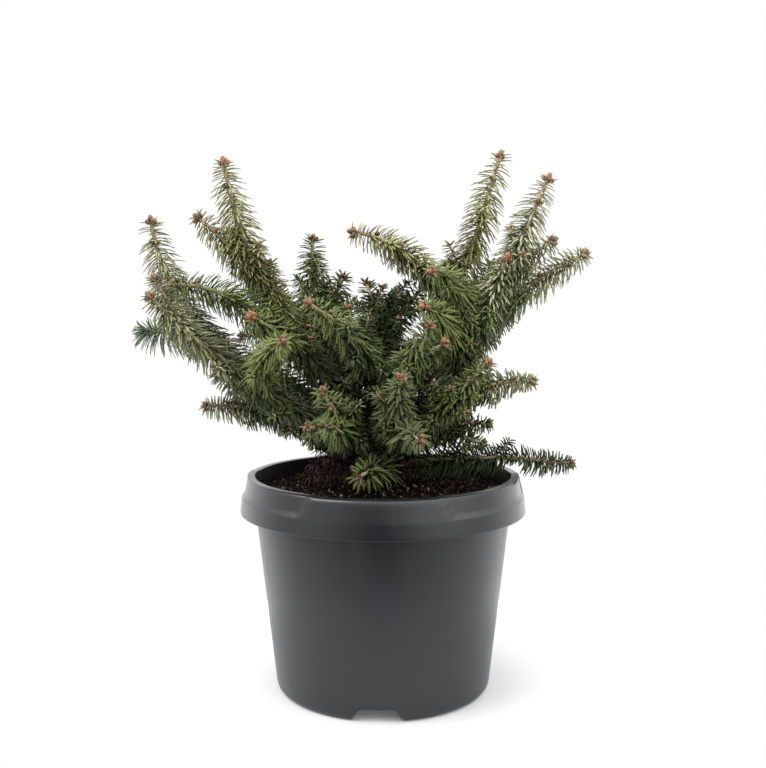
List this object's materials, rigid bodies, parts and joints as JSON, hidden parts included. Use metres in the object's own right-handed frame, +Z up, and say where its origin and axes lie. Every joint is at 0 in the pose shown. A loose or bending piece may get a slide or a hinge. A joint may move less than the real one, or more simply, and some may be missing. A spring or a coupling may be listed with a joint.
{
  "type": "potted conifer",
  "caption": "Young balsam fir with upswept needled branches, standing in a round grey nursery pot filled with compost.",
  "frame": {"origin": "on the ground, where the pot's axis meets its flat underside", "axes": "+Z up along the pot's axis, -Y towards the viewer of the picture, +X to that viewer's right"},
  "size_m": [0.3706, 0.2571, 0.432],
  "materials": {
    "pot_plastic": "satin moulded grey plastic",
    "compost": "crumbly moist peat compost; wood stands in for it",
    "bark": "thin grey-brown bark with fine relief",
    "needles": "soft leathery green needles; fabric stands in for them"
  },
  "bodies": {
    "root": {"bough_back_centre": "bark", "bough_back_left": "bark", "bough_back_left_high": "bark", "bough_back_low": "bark", "bough_back_low_left": "bark", "bough_back_low_right": "bark", "bough_back_right": "bark", "bough_front_left": "bark", "bough_front_low": "bark", "bough_front_mid": "bark", "bough_front_right": "bark", "bough_front_upper": "bark", "bough_left_arch": "bark", "bough_left_high": "bark", "bough_left_low": "bark", "bough_left_outer": "bark", "bough_left_reach": "bark", "bough_right_ground": "bark", "bough_right_inner": "bark", "bough_right_low": "bark", "bough_right_main": "bark", "bough_right_mid": "bark", "pot": "pot_plastic", "soil": "compost", "spray_back_centre": "needles", "spray_back_left": "needles", "spray_back_left_high": "needles", "spray_back_low": "needles", "spray_back_low_left": "needles", "spray_back_low_right": "needles", "spray_back_right": "needles", "spray_crown_top": "needles", "spray_front_left": "needles", "spray_front_low": "needles", "spray_front_mid": "needles", "spray_front_right": "needles", "spray_front_upper": "needles", "spray_left_arch": "needles", "spray_left_high": "needles", "spray_left_low": "needles", "spray_left_outer": "needles", "spray_left_reach": "needles", "spray_right_ground": "needles", "spray_right_inner": "needles", "spray_right_low": "needles", "spray_right_main": "needles", "spray_right_mid": "needles", "trunk": "bark"}
  },
  "joints": []
}
